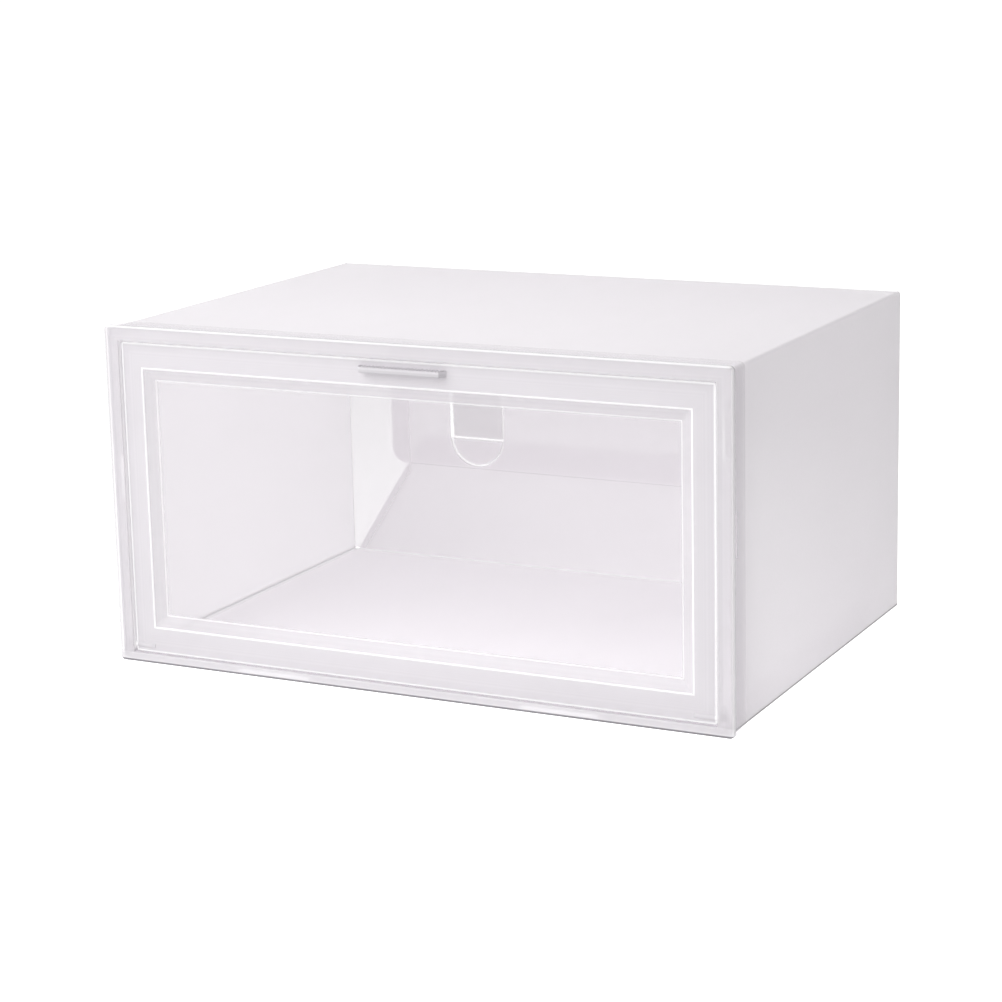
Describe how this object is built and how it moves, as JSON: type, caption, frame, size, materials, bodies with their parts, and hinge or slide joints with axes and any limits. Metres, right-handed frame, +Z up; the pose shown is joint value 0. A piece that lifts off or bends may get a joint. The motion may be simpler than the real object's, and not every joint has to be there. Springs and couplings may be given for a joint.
{
  "type": "drop-front shoe box",
  "caption": "Clear stackable shoe box: folded frosted sheet body with a tuck-lock rear, moulded front frame and a drop-down front door with a grooved pull.",
  "frame": {"origin": "centre of the footprint, on the plane the box stands on", "axes": "+X to the right seen from the front, +Y from the door to the rear, +Z up"},
  "size_m": [0.35, 0.2524, 0.18],
  "materials": {
    "frosted_sheet": "frosted translucent polypropylene sheet, fine matt grain",
    "clear_frame": "clear injection-moulded plastic, slightly hazy, polished edges",
    "clear_door": "clear injection-moulded plastic, polished"
  },
  "bodies": {
    "root": {"top_panel": "frosted_sheet", "bottom_panel": "frosted_sheet", "left_panel": "frosted_sheet", "right_panel": "frosted_sheet", "glue_flap": "frosted_sheet", "front_frame": "clear_frame"},
    "drop_door": {"door": "clear_door"},
    "lower_flap": {"rear_lower_flap": "frosted_sheet"},
    "upper_flap": {"rear_upper_flap": "frosted_sheet"},
    "tongue_left": {"lock_tongue_left": "frosted_sheet"},
    "tongue_right": {"lock_tongue_right": "frosted_sheet"},
    "dust_left": {"dust_flap_left": "frosted_sheet"},
    "dust_right": {"dust_flap_right": "frosted_sheet"}
  },
  "joints": [
    {"name": "door_hinge", "type": "hinge", "parent": "root", "child": "drop_door", "pos_m": [0, -0.12075, 0.009], "axis": [1, 0, 0], "range_deg": [0, 90]},
    {"name": "rear_lower_flap_fold", "type": "hinge", "parent": "root", "child": "lower_flap", "pos_m": [0, 0.12475, 0.0019], "axis": [-1, 0, 0], "range_deg": [0, 90]},
    {"name": "rear_upper_flap_fold", "type": "hinge", "parent": "root", "child": "upper_flap", "pos_m": [0, 0.12365, 0.1781], "axis": [1, 0, 0], "range_deg": [0, 40]},
    {"name": "lock_tongue_left_fold", "type": "hinge", "parent": "upper_flap", "child": "tongue_left", "pos_m": [-0.08675, 0.12365, 0.112], "axis": [1, 0, 0], "range_deg": [0, 80]},
    {"name": "lock_tongue_right_fold", "type": "hinge", "parent": "upper_flap", "child": "tongue_right", "pos_m": [0.08675, 0.12365, 0.112], "axis": [1, 0, 0], "range_deg": [0, 80]},
    {"name": "dust_flap_left_fold", "type": "hinge", "parent": "root", "child": "dust_left", "pos_m": [-0.172, 0.12255, 0.091], "axis": [0, 0, -1], "range_deg": [0, 90]},
    {"name": "dust_flap_right_fold", "type": "hinge", "parent": "root", "child": "dust_right", "pos_m": [0.172, 0.12255, 0.091], "axis": [0, 0, 1], "range_deg": [0, 90]}
  ],
  "couplings": [
    {"joint": "rear_upper_flap_fold", "follows": "rear_lower_flap_fold", "ratio": 0.44},
    {"joint": "lock_tongue_left_fold", "follows": "rear_lower_flap_fold", "ratio": 0.85},
    {"joint": "lock_tongue_right_fold", "follows": "rear_lower_flap_fold", "ratio": 0.85}
  ]
}
